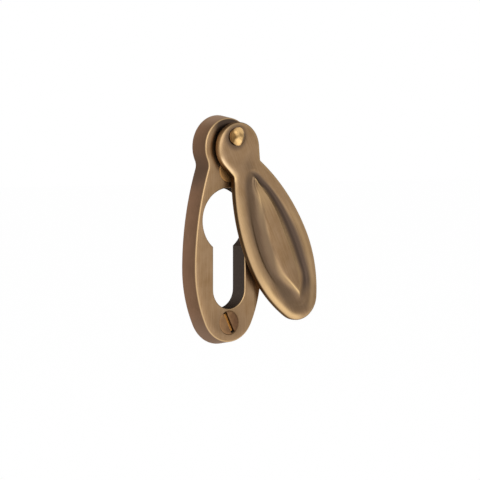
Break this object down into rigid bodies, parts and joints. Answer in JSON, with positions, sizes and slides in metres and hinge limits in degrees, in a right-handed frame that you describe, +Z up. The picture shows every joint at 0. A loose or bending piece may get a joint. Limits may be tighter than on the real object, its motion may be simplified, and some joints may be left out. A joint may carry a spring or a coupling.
{
  "type": "keyhole escutcheon with swing cover",
  "caption": "Egg-shaped brass escutcheon plate with a euro profile keyhole and a leaf-shaped cover that swings aside on a riveted pivot pin, screwed to a door.",
  "frame": {"origin": "centre of the keyhole's round part, on the plate's back face", "axes": "+Z up along the plate's length, +Y into the door, so the front faces -Y, and +X to the right seen from the front"},
  "size_m": [0.0412, 0.0174, 0.0635],
  "materials": {
    "antique_brass": "antique brass, satin brushed, dark in the recesses and worn bright at the edges",
    "worn_brass": "antique brass, hammered over and worn bright"
  },
  "bodies": {
    "plate": {"back_plate": "antique_brass", "pivot_pin": "worn_brass", "spacer_washer": "antique_brass", "upper_screw": "worn_brass", "lower_screw": "worn_brass"},
    "cover": {"swing_cover": "antique_brass"}
  },
  "joints": [
    {"name": "cover_swing", "type": "hinge", "parent": "plate", "child": "cover", "pos_m": [0, -0.0074, 0.0233], "axis": [0, -1, 0], "continuous": true}
  ]
}
